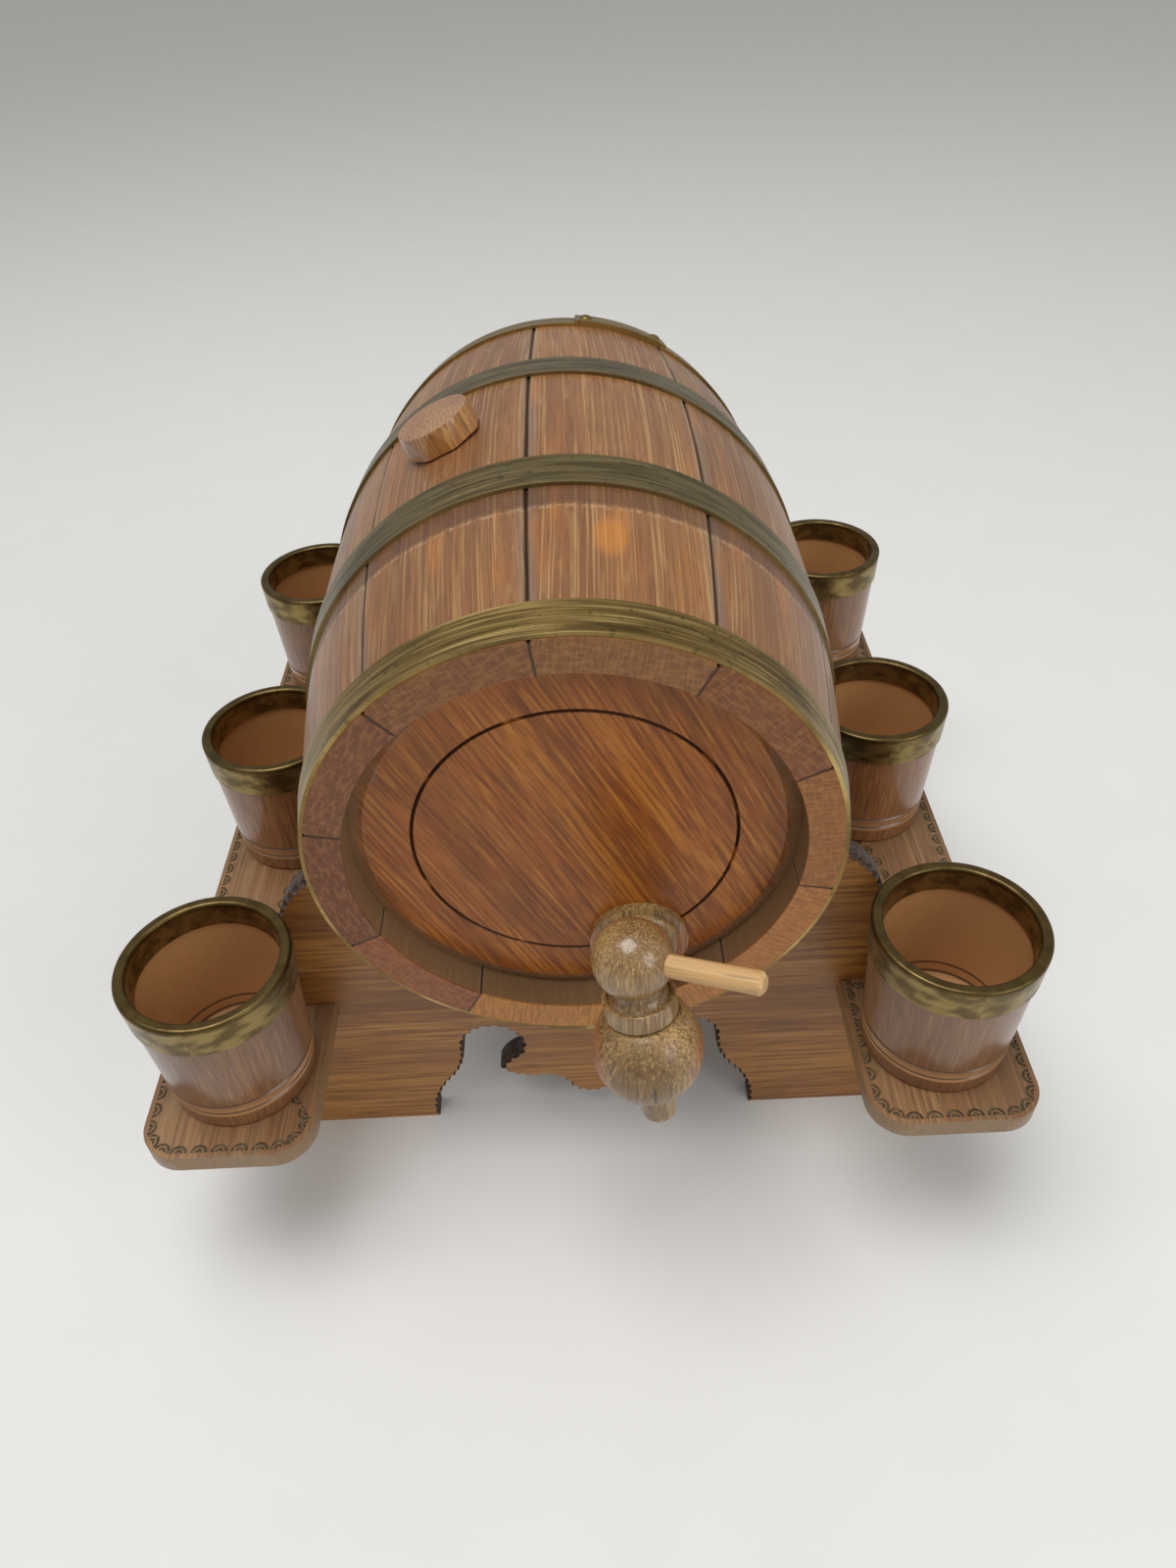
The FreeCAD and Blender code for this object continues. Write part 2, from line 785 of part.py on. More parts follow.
def board_half():
    """Corners of the board's right half, from the pendant round to the cradle's bottom."""
    scroll_x, scroll_z, scroll = size("scroll_x"), size("scroll_height"), size("scroll_radius")
    lip_x = size("scroll_lip_x")
    lip_z = scroll_z - root(scroll * scroll - (scroll_x - lip_x) * (scroll_x - lip_x))
    drop = size("axis_height") - size("horn_height")
    tip_x = root(cradle_radius * cradle_radius - drop * drop)
    return [
        (size("pendant_x"), size("pendant_height"), size("pendant_radius"), "left"),
        (size("apron_x"), size("apron_height"), size("apron_cove_radius"), "right"),
        (size("cusp_x"), size("cusp_height"), size("apron_curve_radius"), "left"),
        (lip_x, lip_z, size("cusp_curl_radius"), "left"),
        (scroll_x, scroll_z + scroll, scroll, "right"),
        (scroll_x + scroll, scroll_z, scroll, "right"),
        (size("leg_bend_x"), size("leg_bend_height"), size("leg_upper_radius"), "left"),
        (size("foot_inside"), size("foot_straight"), size("leg_lower_radius"), "right"),
        (size("foot_inside"), Size(0), None, ""),
        (size("foot_outside"), Size(0), None, ""),
        (size("shoulder_outside"), shoulder_height, size("foot_flare_radius"), "right"),
        (size("horn_outside"), shoulder_height, None, ""),
        (size("horn_outside"), size("horn_bend_height"), None, ""),
        (tip_x + size("horn_tip_width"), size("horn_height"), size("horn_bend_radius"), "left"),
        (tip_x, size("horn_height"), None, ""),
        (Size(0), size("axis_height") - cradle_radius, cradle_radius, "right"),
    ]


def make_board(name, side):
    body = new_body(name)
    half = board_half()
    start = (Size(0), size("pendant_tip_height"))
    steps = []
    for x, z, radius, centre_on in half:
        steps.append(line_to(x, z) if radius is None else arc_to(x, z, radius, centre_on))
    corners = [start] + [(x, z) for x, z, radius, centre_on in half]
    for k in range(len(half) - 1, -1, -1):
        radius, centre_on = half[k][2], half[k][3]
        x, z = corners[k]
        steps.append(line_to(-x, z) if radius is None else arc_to(-x, z, radius, centre_on))
    sketch = outline(body, "XZ_Plane", "face", start, steps)
    padded(body, sketch, "plank", size("board_thickness"))
    holes = new_sketch(body, "XY_Plane", "nail_holes")
    holes.setExpression("AttachmentOffset.Base.z", shoulder_height.text)
    for x in nail_places():
        for across in (x, -x):
            add_circle(holes, across, -size("board_thickness") / 2, size("nail_radius"))
    cut = body.newObject("PartDesign::Pocket", f"{name}_nail_bores")
    cut.Profile = (holes, [""])
    cut.Type = "Length"
    cut.setExpression("Length", (size("nail_length") - size("tray_thickness")).text)
    back = size("board_out") - size("board_thickness")
    place(body, moved(y=stand_y - back if side < 0 else stand_y + size("board_out")))
    return body


# Trays: two thin shelves nailed on the boards' shoulders, waisted between the beakers


def tray_quarter():
    """Corners of the right tray's rear half, from its middle lobe round to its outer side."""
    lobe_x, waist_x, waist_y = size("lobe_x"), size("waist_x"), size("waist_y")
    waist = size("tray_waist_radius")
    far = root((lobe_x - waist_x) * (lobe_x - waist_x) + waist_y * waist_y)
    lobe = far - waist
    share = lobe / far
    notch = size("horn_outside")
    neck_y = waist_y + root(waist * waist - (notch - waist_x) * (notch - waist_x))
    out, back = size("board_out"), size("board_out") - size("board_thickness")
    end, corner = size("tray_half_length"), size("tray_corner")
    inside, outside = size("tray_inside"), size("tray_outside")
    return lobe_x - lobe, [
        (lobe_x - (lobe_x - waist_x) * share, waist_y * share, lobe, "right"),
        (notch, neck_y, waist, "left"),
        (notch, back, None, ""),
        (notch, out, None, ""),
        (inside, out, None, ""),
        (inside, end - corner, None, ""),
        (inside + corner, end, corner, "right"),
        (outside - corner, end, None, ""),
        (outside, end - corner, corner, "right"),
    ]


def make_tray(name, side):
    """side 1 is the right tray; the left one is its mirror image."""
    body = new_body(name)
    lobe_edge, quarter = tray_quarter()
    flip = {"left": "right", "right": "left", "": ""}

    def step(x, y, radius, centre_on):
        if radius is None:
            return line_to(side * x, y)
        return arc_to(side * x, y, radius, centre_on if side > 0 else flip[centre_on])

    steps = [step(*corner) for corner in quarter]
    corners = [(lobe_edge, Size(0))] + [(x, y) for x, y, radius, on in quarter]
    steps.append(step(corners[-1][0], -corners[-1][1], None, ""))
    for k in range(len(quarter) - 1, -1, -1):
        steps.append(step(corners[k][0], -corners[k][1], quarter[k][2], quarter[k][3]))
    sketch = outline(body, "XY_Plane", "top", (side * lobe_edge, Size(0)), steps)
    padded(body, sketch, "plank", size("tray_thickness"))
    holes = new_sketch(body, "XY_Plane", "nail_holes")
    for x in nail_places():
        for end in (-1, 1):
            add_circle(holes, side * x, end * board_middle, size("nail_radius"))
    drilled(body, holes, "nail_bores")
    place(body, moved(y=stand_y, z=shoulder_height))
    return body


def make_nails(name):
    """Two nails through each end of each tray into the boards' shoulders, eight in all."""
    pattern = new_body("nail_pattern")
    length, radius = size("nail_length"), size("nail_radius")
    steps = [
        line_to(radius / 2, -length),
        line_to(radius, radius - length),
        line_to(radius, 0),
        line_to(0, 0),
        line_to(0, -length),
    ]
    turned(pattern, outline(pattern, "XZ_Plane", "side", (0, -length), steps), "shape")
    links = []
    for side in (-1, 1):
        for end in (-1, 1):
            for x in nail_places():
                link = doc.addObject("App::Link", f"nail_{len(links) + 1}")
                link.LinkedObject = pattern
                place(link, moved(side * x, stand_y + end * board_middle, size("tray_top")))
                links.append(link)
    group = doc.addObject("Part::Compound", name)
    group.Label = name
    group.Links = links
    return group


# Beakers: a turned wooden cup, and a brass rim that folds over its edge


def cup_side(height):
    """Radius of the cup's outside at a height, where its taper runs straight."""
    top = size("cup_rim_radius") - size("band_sheet")
    rise = top - size("cup_base_radius")
    return size("cup_base_radius") + rise * height / size("cup_height")


def cup_inside(height):
    """Radius of the cup's well at a height above its foot."""
    rise = size("cup_mouth_radius") - size("cup_well_radius")
    share = (height - size("cup_floor")) / (size("cup_height") - size("cup_floor"))
    return size("cup_well_radius") + rise * share


CUP_PLACES = {
    "left_front": (-1, -1),
    "left_middle": (-1, 0),
    "left_rear": (-1, 1),
    "right_front": (1, -1),
    "right_middle": (1, 0),
    "right_rear": (1, 1),
}


def place_cup(body, side, row):
    place(body, moved(size("cup_x") * side, stand_y + size("cup_pitch") * row, size("tray_top")))


def make_cup(name, side, row):
    body = new_body(name)
    bevel, cut = size("cup_base_bevel"), size("cup_line_size")
    wood_top = size("cup_height") - size("lip_height")
    steps = [
        line_to(size("cup_base_radius") - bevel, 0),
        line_to(cup_side(bevel), bevel),
    ]
    for line in (size("cup_line_low"), size("cup_line_high")):
        steps += [
            line_to(cup_side(line - cut), line - cut),
            line_to(cup_side(line) - cut, line),
            line_to(cup_side(line + cut), line + cut),
        ]
    steps += [
        line_to(cup_side(wood_top), wood_top),
        line_to(cup_inside(wood_top), wood_top),
        line_to(cup_inside(size("cup_floor") + bevel), size("cup_floor") + bevel),
        line_to(size("cup_well_radius") - bevel, size("cup_floor")),
        line_to(0, size("cup_floor")),
        line_to(0, 0),
    ]
    turned(body, outline(body, "XZ_Plane", "side", (0, 0), steps), "turning")
    place_cup(body, side, row)
    return body


def make_rim(name, side, row):
    body = new_body(name)
    gauge, lip = size("band_sheet"), size("lip_height")
    top, wood_top = size("cup_height"), size("cup_height") - size("lip_height")
    band_low, lining_low = top - size("band_depth"), top - size("lining_depth")
    outer, inner = cup_side(wood_top) + gauge, cup_inside(wood_top) - gauge
    round_over = lip * 0.7
    steps = [
        line_to(cup_side(band_low) + gauge, band_low),
        line_to(outer, wood_top),
        line_to(outer, top - round_over),
        arc_to(outer - round_over, top, round_over, "left"),
        line_to(inner + round_over, top),
        arc_to(inner, top - round_over, round_over, "left"),
        line_to(inner, wood_top),
        line_to(cup_inside(lining_low) - gauge, lining_low),
        line_to(cup_inside(lining_low), lining_low),
        line_to(cup_inside(wood_top), wood_top),
        line_to(cup_side(wood_top), wood_top),
        line_to(cup_side(band_low), band_low),
    ]
    sketch = outline(body, "XZ_Plane", "side", (cup_side(band_low), band_low), steps)
    turned(body, sketch, "spinning")
    place_cup(body, side, row)
    return body


# Build every piece

pieces = []
for number in range(STAVE_COUNT):
    stave_name = "bung_stave" if number == 0 else f"stave_{number + 1:02d}"
    turn = stave_angle * number - size("cask_roll")
    pieces.append(make_stave(stave_name, turn, number == 0))
pieces.append(make_head("front_head", True))
pieces.append(make_head("rear_head", False))
for hoop_name, (hoop_side, hoop_kind, hoop_lap) in HOOP_LAPS.items():
    pieces.append(make_hoop(hoop_name, hoop_side, hoop_kind, hoop_lap))
pieces.append(make_rivets("hoop_rivets"))
pieces.append(make_bung("bung"))
pieces.append(make_spigot("tap_spigot"))
pieces.append(make_key("tap_key"))
pieces.append(make_handle("tap_handle"))
pieces.append(make_board("front_board", -1))
pieces.append(make_board("rear_board", 1))
pieces.append(make_tray("left_tray", -1))
pieces.append(make_tray("right_tray", 1))
pieces.append(make_nails("tray_nails"))
for cup_name, (cup_across, cup_row) in CUP_PLACES.items():
    pieces.append(make_cup(f"{cup_name}_cup", cup_across, cup_row))
    pieces.append(make_rim(f"{cup_name}_rim", cup_across, cup_row))
doc.recompute()

# Check every object and write the pieces

for thing in doc.Objects:
    if "Invalid" in thing.State or "Error" in thing.State:
        raise RuntimeError(f"{thing.Label} failed: {thing.State}")
for piece in pieces:
    if piece.Shape.isNull() or not piece.Shape.isValid():
        raise RuntimeError(f"{piece.Label} has no valid shape")
os.makedirs("parts", exist_ok=True)
for piece in pieces:
    Part.getShape(piece).exportStep(f"parts/{piece.Label}.step")
print(len(pieces), "pieces,", sum(len(p.Shape.Solids) for p in pieces), "solids")
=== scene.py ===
"""Looks of the oak cask liquor dispenser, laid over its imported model, in metres."""
import math

import bpy
from mathutils import Euler, Matrix, Vector


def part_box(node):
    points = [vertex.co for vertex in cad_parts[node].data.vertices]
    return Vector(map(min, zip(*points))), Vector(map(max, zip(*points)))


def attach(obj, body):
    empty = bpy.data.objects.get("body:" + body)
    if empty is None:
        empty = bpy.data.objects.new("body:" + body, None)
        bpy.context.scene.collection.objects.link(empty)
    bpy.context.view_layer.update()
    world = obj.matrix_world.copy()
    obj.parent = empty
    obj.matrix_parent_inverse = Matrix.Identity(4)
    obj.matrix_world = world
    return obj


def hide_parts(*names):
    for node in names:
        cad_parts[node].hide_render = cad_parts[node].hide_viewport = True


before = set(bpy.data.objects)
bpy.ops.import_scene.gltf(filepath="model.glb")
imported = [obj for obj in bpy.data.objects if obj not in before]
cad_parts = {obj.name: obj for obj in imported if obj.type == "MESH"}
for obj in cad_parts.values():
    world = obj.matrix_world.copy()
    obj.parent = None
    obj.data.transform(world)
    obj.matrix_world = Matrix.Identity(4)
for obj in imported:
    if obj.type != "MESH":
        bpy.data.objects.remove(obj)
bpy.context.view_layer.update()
bpy.ops.object.select_all(action="DESELECT")


# Staves
# Ten bent oak staves, varnished a reddish brown. Their joints are dark, their ends show bare end grain,
# and every stave comes from another board, so each has its own tone. The tones also hold painted light:
# the upper staves are painted lighter and the lower ones darker, and the end grain carries painted
# shade, darker at the top of the ring and lighter at the bottom.


class Socket:
    """An output of a material's nodes. Sums and products of it add Math nodes."""

    def __init__(self, output):
        self.output = output

    def node(self, kind, settings, values, result=0):
        """Add a node: its settings first, then the values or links of its sockets."""
        tree = self.output.id_data
        new = tree.nodes.new("ShaderNode" + kind)
        for key, value in settings.items():
            setattr(new, key, value)
        for key, value in values.items():
            if isinstance(value, Socket):
                tree.links.new(value.output, new.inputs[key])
            else:
                new.inputs[key].default_value = value
        return Socket(new.outputs[result])

    def maths(self, operation, first, second=0.0):
        return self.node("Math", {"operation": operation}, {0: first, 1: second})

    def __add__(self, other):
        return self.maths("ADD", self, other)

    def __sub__(self, other):
        return self.maths("SUBTRACT", self, other)

    def __mul__(self, other):
        return self.maths("MULTIPLY", self, other)

    def __truediv__(self, other):
        return self.maths("DIVIDE", self, other)

    def __rsub__(self, other):
        return self.maths("SUBTRACT", other, self)

    __radd__ = __add__
    __rmul__ = __mul__

    def size(self):
        return self.maths("ABSOLUTE", self)

    def root(self):
        """The square root."""
        return self.maths("SQRT", self)

    def over(self, low, high):
        """0 below low, 1 above high, and a smooth step between; the other way if high is less."""
        if high < low:
            return 1 - self.over(high, low)
        steps = {"From Min": low, "From Max": high}
        return self.node("MapRange", {"interpolation_type": "SMOOTHSTEP"}, {"Value": self, **steps})

    def tint(self, colour, amount):
        """Mix a colour into this one."""
        return self.node("Mix", {"data_type": "RGBA"}, {0: amount, 6: self, 7: colour}, result=2)

    def blend(self, first, second):
        """The first colour where this value is 0, the second where it is 1, and between."""
        ends = {6: colour(first), 7: colour(second)}
        return self.node("Mix", {"data_type": "RGBA"}, {0: self, **ends}, result=2)

    def axes(self):
        split = self.node("SeparateXYZ", {}, {"Vector": self}).output.node
        return [Socket(output) for output in split.outputs]

    def noise(self, x, y, z, detail=2.0, distortion=0.0):
        """Noise with so many cells to the metre along each axis."""
        cells = self.node("VectorMath", {"operation": "MULTIPLY"}, {0: self, 1: (x, y, z)})
        return self.node("TexNoise", {}, {"Vector": cells, "Scale": 1.0, "Detail": detail,
                                          "Distortion": distortion})


def colour(code):
    """A colour written as six hexadecimal digits, as a screen shows it."""
    parts = [int(code[k:k + 2], 16) / 255 for k in (0, 2, 4)]
    return tuple(p / 12.92 if p < 0.04045 else ((p + 0.055) / 1.055) ** 2.4 for p in parts) + (1.0,)


def new_material(name, turn=(0.0, 0.0, 0.0), centre=(0.0, 0.0, 0.0)):
    """A material, and the point on the piece after it is centred and turned, in metres."""
    material = bpy.data.materials.new(name)
    material.use_nodes = True
    where = Socket(material.node_tree.nodes.new("ShaderNodeTexCoord").outputs["Object"])
    rotation = Euler(turn)
    shift = -(rotation.to_matrix() @ Vector(centre))
    point = where.node("Mapping", {}, {"Vector": where, "Rotation": turn, "Location": shift})
    return material, point


def coat(material, base, roughness, height, depth, **plain):
    """Give the surface its colour, its roughness and a bump; the rest are plain numbers."""
    tree = material.node_tree
    surface = tree.nodes["Principled BSDF"]
    tree.links.new(base.output, surface.inputs["Base Color"])
    if isinstance(roughness, Socket):
        tree.links.new(roughness.output, surface.inputs["Roughness"])
    else:
        surface.inputs["Roughness"].default_value = roughness
    bump = base.node("Bump", {}, {"Strength": 0.6, "Distance": depth, "Height": height})
    tree.links.new(bump.output, surface.inputs["Normal"])
    for key, value in plain.items():
        surface.inputs[key.replace("_", " ")].default_value = value


def timber(point, dark, middle, light, seed=0.0, fine=1.0, streaks=0.5, pores=0.5):
    """Wood whose grain runs along the point's Y: its colour, and how proud its fibres are."""
    start = point.node("VectorMath", {"operation": "ADD"}, {0: point, 1: (seed, seed * 0.7, seed * 1.3)})
    broad = start.noise(55, 4, 55, detail=1.0, distortion=0.4)
    fibre = start.noise(1700 * fine, 11, 1700 * fine, detail=2.0)
    flame = start.noise(1300 * fine, 9, 1300 * fine, detail=2.0)
    pore = start.noise(1900 * fine, 75, 1900 * fine, detail=1.0).over(0.57, 0.65)
    paint = broad.over(0.3, 0.7).blend(dark, middle)
    paint = paint.tint(colour(light), flame.over(0.5, 0.66) * streaks * 0.6)
    paint = paint.tint(colour(dark), fibre.over(0.47, 0.6) * 0.75)
    paint = paint.tint(colour("3a2213"), pore * pores * 0.55)
    return paint, fibre * 0.5 - pore * 0.6, fibre


def dress(name, material):
    """Give a CAD node this material alone."""
    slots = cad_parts[name].data.materials
    slots.clear()
    slots.append(material)


stave_names = ["bung_stave"] + [f"stave_{n:02d}" for n in range(2, 11)]
stave_angle = 36.0
cask_roll = -24.0
cask_middle = (0.0, 0.00525, 0.136)
# Each stave's own tone with painted light in it: the upper staves are painted lighter, the lower ones
# darker in painted shade.
stave_tones_and_shade = [
    ("7a5030", "97663a", "c7a06a"), ("7f5330", "9f6d3c", "cfaa72"), ("785030", "91623b", "bd9868"),
    ("6d4a32", "875f41", "b3906c"), ("64401f", "7f5532", "a9825a"), ("5f3c20", "784e2e", "a47d58"),
    ("64401f", "7f5532", "a9825a"), ("66422a", "7f5638", "ab8763"), ("754c34", "91664a", "bf9b76"),
    ("7b5233", "95663f", "c39c6c"),
]
# End grain tones round the ring, holding painted shade: darker at the top and left, lighter and more
# golden towards the bottom.
end_tones_and_shade = ["7d4e26", "86582c", "7f4a20", "985f27", "ad6f2e", "b0722f", "bb7b32", "8c4d20", "6f3b1b",
             "764523"]
band_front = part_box("front_bilge_hoop")[0].y - cask_middle[1]
half_length = 0.095
chime_radius = 0.0600
for index, (name, tones) in enumerate(zip(stave_names, stave_tones_and_shade)):
    angle = math.radians(cask_roll + index * stave_angle)
    material, point = new_material(name + "_oak", turn=(0.0, -angle, 0.0), centre=cask_middle)
    # The stave bends, so its depth counts for little: streaks run on from end to end.
    straight = point.node("Mapping", {}, {"Vector": point, "Scale": (1.0, 1.0, 0.06)})
    paint, height, fibre = timber(straight, *tones, seed=index * 3.7, streaks=0.7, fine=1.2)
    across, along, out = point.axes()
    lean = (across / out).size()
    wander = point.noise(300, 40, 300) - 0.5
    paint = paint.tint(colour("8d8374"), (lean + wander * 0.03).over(0.270, 0.318) * 0.35)
    seam = (lean + wander * 0.006).over(0.316, 0.323)
    worn = point.noise(400, 60, 400, detail=3.0).over(0.55, 0.7)
    paint = paint.tint(colour("b8945f"), worn * 0.2)
    paint = paint.tint(colour("b5702f"), point.noise(90, 14, 90).over(0.54, 0.7) * 0.4)
    # A dark band with a scuffed edge lies in front of the front bilge hoop.
    ahead = along - band_front + wander * 0.002
    shade = ahead.over(-0.0095, -0.0065) * ahead.over(0.006, 0.003)
    paint = paint.tint(colour("4a2f20"), shade * 0.6)
    scuff = (ahead + 0.0088).size().over(0.0012, 0.0002)
    paint = paint.tint(colour("bfa47c"), scuff * point.noise(900, 900, 900).over(0.42, 0.6) * 0.4)
    # One orange patch lies on the stave beside the bung's.
    if name == "stave_02":
        left, front = (across + 0.003) * 250, along * 130 + 7.9
        paint = paint.tint(colour("c57f34"), (left * left + front * front).over(1.5, 0.1) * 0.6)
    inner = out.over(chime_radius, chime_radius - 0.0008)
    paint = paint.tint(colour("85694a"), inner * 0.7)
    end = along.size().over(half_length - 0.0006, half_length - 0.0001)
    hatch = point.noise(1900, 1, 200, detail=1.0).over(0.46, 0.56)
    rows = point.noise(300, 1, 1100, detail=1.0).over(0.48, 0.58)
    paint = paint.tint(colour(end_tones_and_shade[index]), end)
    paint = paint.tint(colour("4a2610"), end * hatch * 0.35)
    paint = paint.tint(colour("c98f4e"), end * rows * 0.15)
    paint = paint.tint(colour("1d120c"), seam * 0.85)
    coat(material, paint, fibre * 0.25 + 0.27, height - seam * 3.0, 0.00012, Coat_Weight=0.12,
         Coat_Roughness=0.2, Specular_IOR_Level=0.4)
    dress(name, material)


# Heads
# A round oak head at each end, bevelled to a thin edge. The varnish is warmer than on the
# staves, the grain runs on the slant, and dust lies along the bevel.

ring_radius = 0.0409
for name, face, slant in (("front_head", -1, 27.0), ("rear_head", 1, -24.0)):
    material, point = new_material(name + "_oak", turn=(math.radians(90), 0.0, math.radians(slant)),
                                   centre=(0.0, cask_middle[1], cask_middle[2]))
    paint, height, fibre = timber(point, "8c4b16", "ac6421", "d99a45", seed=face * 2.1, streaks=0.35,
                                  fine=0.8)
    across, along, _ = point.axes()
    from_middle = (across * across + along * along).root()
    dust = point.noise(180, 180, 180, detail=4.0)
    bands = point.noise(150, 12, 150, detail=1.0)
    paint = paint.tint(colour("d48c34"), bands.over(0.5, 0.7) * 0.25)
    paint = paint.tint(colour("7c4414"), bands.over(0.5, 0.3) * 0.25)
    lines = point.noise(1000, 60, 1000, detail=2.0)
    paint = paint.tint(colour("5a2f0e"), lines.over(0.52, 0.6) * 0.45)
    paint = paint.tint(colour("e0a040"), lines.over(0.44, 0.36) * 0.2)
    paint = paint.tint(colour("8a7a62"), (from_middle + dust * 0.004).over(0.0535, 0.0575) * 0.6)
    paint = paint.tint(colour("74401c"), point.noise(60, 22, 60, detail=2.0).over(0.45, 0.75) * 0.4)
    line = (from_middle - ring_radius).size().over(0.0006, 0.0003)
    paint = paint.tint(colour("1f140d"), line * dust.over(0.3, 0.45) * 0.9)
    coat(material, paint, fibre * 0.2 + 0.3, height, 0.00010, Coat_Weight=0.15, Coat_Roughness=0.2,
         Specular_IOR_Level=0.3)
    dress(name, material)


# Hoops and rivets
# Four brass bands brushed along their length and gone olive with age, each lapped and closed
# with two domed rivets. The lips that stand clear of the wood are rubbed bright, and the
# brushed streaks are painted lighter as a painted sheen.


def brass(name, gold, olive, sheen_streak_colour, ages, low=0.0, high=0.0):
    """Old brass on the cask: brushed round it with a painted sheen on the streaks, patchy, and bright
    along the band's edges.
    """
    material, point = new_material(name, centre=cask_middle)
    across, along, up = point.axes()
    turn = across.maths("ARCTAN2", across, up)
    wound = turn.node("CombineXYZ", {}, {"X": turn * 0.07, "Y": along, "Z": 0.0})
    brushed = wound.noise(28, 2600, 1, detail=2.0)
    patch = wound.noise(45, 420, 1, detail=4.0)
    spots = wound.noise(420, 420, 1, detail=3.0)
    age = patch.over(0.62 - ages * 0.3, 0.74 - ages * 0.1)
    paint = age.blend(gold, olive)
    # Painted sheen: the brushed streaks are painted lighter, a painted highlight along the brushing.
    paint = paint.tint(colour(sheen_streak_colour), brushed.over(0.5, 0.66) * (1 - age * 0.7) * 0.6)
    paint = paint.tint(colour("3d3218"), brushed.over(0.46, 0.34) * 0.55)
    paint = paint.tint(colour("2b2112"), spots.over(0.6, 0.7) * 0.5)
    if high > low:
        near = (along - (low + high) / 2).size()
        edge = (near + patch * 0.0006).over((high - low) / 2 - 0.0007, (high - low) / 2 - 0.0001)
        paint = paint.tint(colour("c9ad6c"), edge * 0.15)
    coat(material, paint, patch * 0.25 + brushed * 0.12 + 0.2, brushed + spots * 0.5, 0.00004,
         Metallic=0.9)
    return material


# Each hoop's gold, olive, painted sheen colour for its brushed streaks, and age.
hoop_tones = {
    "front_head_hoop": ("866d3c", "5a4a2a", "e6cb86", 0.5),
    "front_bilge_hoop": ("80704a", "5c5033", "b3a06c", 0.75),
    "rear_bilge_hoop": ("7d6e4a", "594e33", "ac9a68", 0.75),
    "rear_head_hoop": ("8f7b46", "5f512f", "b99f5f", 0.6),
}
for name, tones in hoop_tones.items():
    low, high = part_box(name)
    material = brass(name + "_brass", *tones, low[1] - cask_middle[1], high[1] - cask_middle[1])
    dress(name, material)
dress("hoop_rivets", brass("rivet_brass", "8a7440", "4b3f22", "c7ab66", 0.6))


# Bung
# A turned oak plug with an eight-sided head, driven into the stave on top. Its top shows the
# rings of the end grain.

bung_turn = math.radians(24.0)
material, point = new_material("bung_oak", turn=(0.0, bung_turn, 0.0), centre=cask_middle)
tall = point.node("Mapping", {}, {"Vector": point, "Rotation": (math.radians(90), 0.0, 0.0)})
paint, height, fibre = timber(tall, "8f5a28", "b58043", "deb06c", seed=5.0, streaks=0.6)
across, along, out = point.axes()
# The rings' own centre lies outside the plug, as in a board cut from beside the heart.
ring_x, ring_y = across + 0.019, along + 0.008
rings = ((ring_x * ring_x + ring_y * ring_y).root() + point.noise(120, 120, 120) * 0.0012) * 5200
arcs = rings.maths("SINE", rings).over(0.0, 0.9)
top = out.over(0.0795, 0.0802)
paint = paint.tint(colour("7d4420"), arcs * top * 0.45)
coat(material, paint, fibre * 0.15 + 0.22, height + arcs * top * 0.3, 0.00008, Coat_Weight=0.6,
     Coat_Roughness=0.12)
dress("bung", material)


# Tap
# A turned spigot driven into the head, the tapered key that turns in its bulb, and a plain
# pale peg through the key's knob. The wood is paler than the cask's, flecked, and cracked in front.

tap_low, tap_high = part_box("tap_spigot")
bulb_x = (tap_low[0] + tap_high[0]) / 2
bulb_z = (tap_low[2] + tap_high[2]) / 2
bulb_nose = 0.0152
bulb_y = tap_low[1] + bulb_nose
material, point = new_material("spigot_wood", centre=(bulb_x, bulb_y, bulb_z))
upright = point.node("Mapping", {}, {"Vector": point, "Rotation": (math.radians(-90), 0.0, 0.0)})
paint, height, fibre = timber(upright, "75572f", "b08e5a", "d8bb84", seed=8.0, streaks=0.5, fine=1.4)
across, along, up = point.axes()
paint = paint.tint(colour("a8643a"), (across.size() + point.noise(150, 90, 150) * 0.006 - up * 0.2)
                   .over(0.0118, 0.0165) * 0.8)
paint = paint.tint(colour("4f3a22"), upright.noise(1300, 60, 1300, detail=2.0).over(0.54, 0.62) * 0.6)
crack = (across - 0.0012 + point.noise(200, 200, 200) * 0.0006).size().over(0.00032, 0.00012)
crack = crack * along.over(-0.0062, -0.0078) * up.over(0.0030, 0.0012) * up.over(-0.0125, -0.0105)
paint = paint.tint(colour("20140c"), crack * 0.95)
coat(material, paint, fibre * 0.2 + 0.3, height - crack * 6.0, 0.00010, Coat_Weight=0.3,
     Coat_Roughness=0.2)
dress("tap_spigot", material)

key_tilt = (math.radians(90 + 12.0), math.radians(6.8), 0.0)
material, point = new_material("key_wood", turn=key_tilt, centre=(bulb_x, bulb_y, bulb_z))
paint, height, fibre = timber(point, "7a5a34", "ab8a56", "d6b27a", seed=12.0, streaks=0.35, fine=1.4)
fleck = point.noise(1900, 90, 1900, detail=2.0)
paint = paint.tint(colour("dcc08c"), fleck.over(0.54, 0.64) * 0.3)
paint = paint.tint(colour("56381d"), fleck.over(0.44, 0.34) * 0.5)
paint = paint.tint(colour("8a4d2c"), point.noise(70, 60, 70, detail=1.0).over(0.52, 0.7) * 0.4)
coat(material, paint, fibre * 0.15 + 0.2, height + fleck * 0.4, 0.00010, Coat_Weight=0.55,
     Coat_Roughness=0.12)
dress("tap_key", material)

